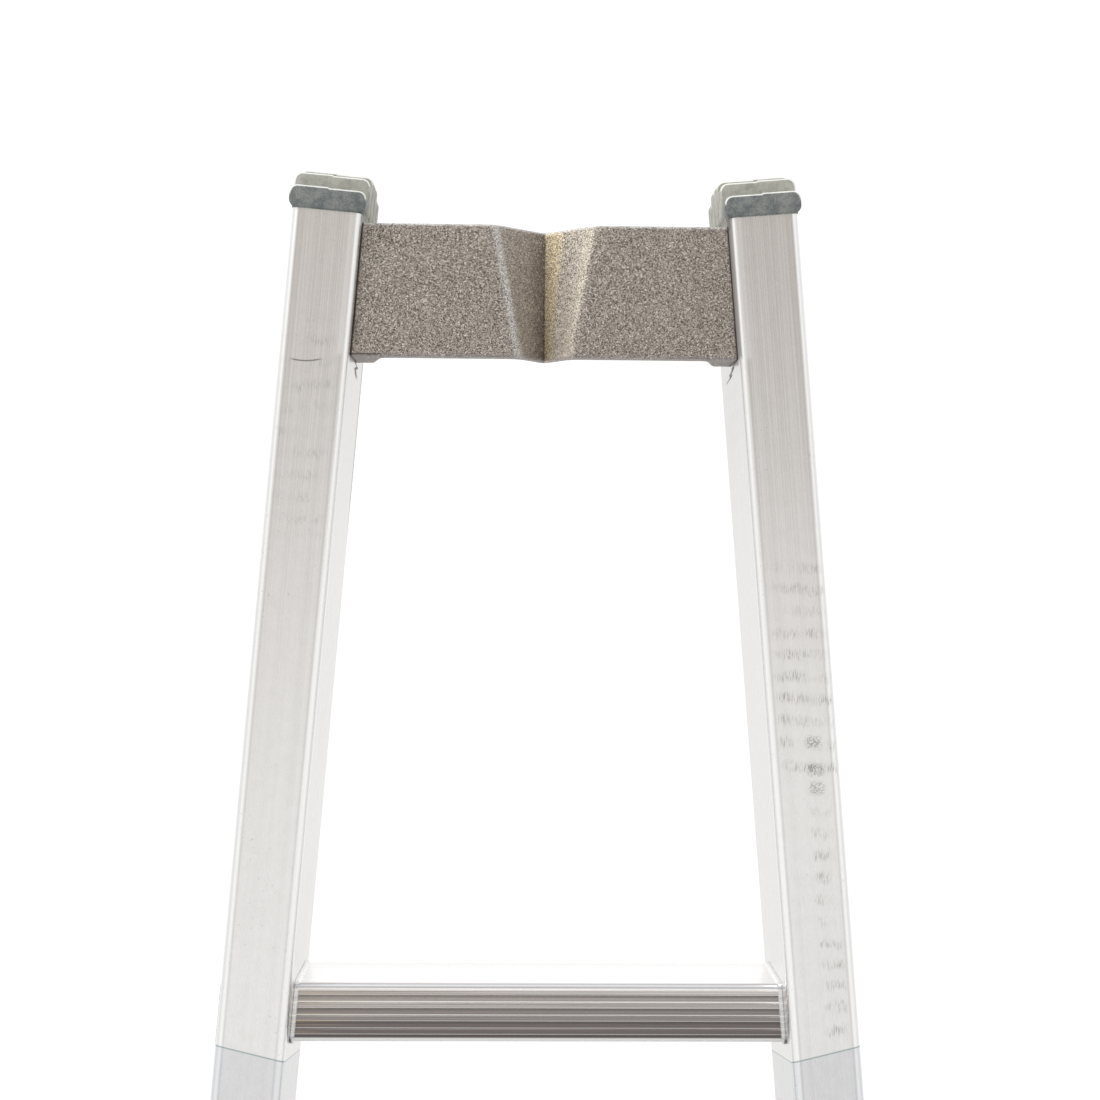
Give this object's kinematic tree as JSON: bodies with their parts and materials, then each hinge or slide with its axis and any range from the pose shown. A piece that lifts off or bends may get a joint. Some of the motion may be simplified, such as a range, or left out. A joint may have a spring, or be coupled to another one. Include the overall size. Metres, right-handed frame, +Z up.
{
  "type": "extension ladder",
  "caption": "Aluminium extension ladder with box stiles, ribbed rungs and a tapered top that ends in a cast pole rest; the upper section slides and latches.",
  "frame": {"origin": "middle of the bounding box at the level of the feet's treads", "axes": "+Z up along the ladder, +X to the right seen from the pole's side, +Y from the pole's side to the climber's side"},
  "size_m": [0.367, 0.1298, 3.1289],
  "materials": {
    "stile_aluminium": "drawn and lightly brushed along the stile",
    "rung_aluminium": "extruded, bright",
    "cast_aluminium": "sand cast, grainy",
    "guide_aluminium": "satin",
    "rivet_aluminium": "bright",
    "cap_rubber": "moulded, satin",
    "foot_rubber": "moulded, matt",
    "glide_plastic": "matt",
    "knob_plastic": "fine grain",
    "steel": "zinc plated"
  },
  "bodies": {
    "base": {"base_stile_left": "stile_aluminium", "base_stile_right": "stile_aluminium", "base_rung_1": "rung_aluminium", "base_rung_2": "rung_aluminium", "base_rung_3": "rung_aluminium", "base_rung_4": "rung_aluminium", "base_rung_5": "rung_aluminium", "base_rung_6": "rung_aluminium", "base_rung_7": "rung_aluminium", "base_cap_left": "cap_rubber", "base_cap_right": "cap_rubber", "foot_left": "foot_rubber", "foot_right": "foot_rubber", "base_guide_left": "guide_aluminium", "base_guide_right": "guide_aluminium", "base_glide_left": "glide_plastic", "base_glide_right": "glide_plastic", "stop_left": "guide_aluminium", "stop_right": "guide_aluminium", "base_rivets": "rivet_aluminium"},
    "fly": {"fly_stile_left": "stile_aluminium", "fly_stile_right": "stile_aluminium", "fly_rung_1": "rung_aluminium", "fly_rung_2": "rung_aluminium", "fly_rung_3": "rung_aluminium", "fly_rung_4": "rung_aluminium", "fly_rung_5": "rung_aluminium", "fly_rung_6": "rung_aluminium", "fly_rung_7": "rung_aluminium", "fly_rung_8": "rung_aluminium", "fly_rung_9": "rung_aluminium", "fly_rung_10": "rung_aluminium", "fly_cap_left": "cap_rubber", "fly_cap_right": "cap_rubber", "fly_tail_plug_left": "cap_rubber", "fly_tail_plug_right": "cap_rubber", "fly_guide_left": "guide_aluminium", "fly_guide_right": "guide_aluminium", "fly_glide_left": "glide_plastic", "fly_glide_right": "glide_plastic", "latch_housing_left": "guide_aluminium", "latch_housing_right": "guide_aluminium", "latch_spring_left": "steel", "latch_spring_right": "steel", "top_bracket": "cast_aluminium", "bracket_screws": "steel", "fly_rivets": "rivet_aluminium"},
    "latch_left": {"latch_bolt_left": "steel", "latch_knob_left": "knob_plastic"},
    "latch_right": {"latch_bolt_right": "steel", "latch_knob_right": "knob_plastic"}
  },
  "joints": [
    {"name": "fly_slide", "type": "slide", "parent": "base", "child": "fly", "axis": [0, 0, 1], "range_m": [0, 1.12]},
    {"name": "latch_left_slide", "type": "slide", "parent": "fly", "child": "latch_left", "axis": [0, 1, 0], "range_m": [0, 0.02], "stiffness_N_per_m": 300, "springref_m": -0.02, "deforming": ["latch_spring_left"]},
    {"name": "latch_right_slide", "type": "slide", "parent": "fly", "child": "latch_right", "axis": [0, 1, 0], "range_m": [0, 0.02], "stiffness_N_per_m": 300, "springref_m": -0.02, "deforming": ["latch_spring_right"]}
  ]
}
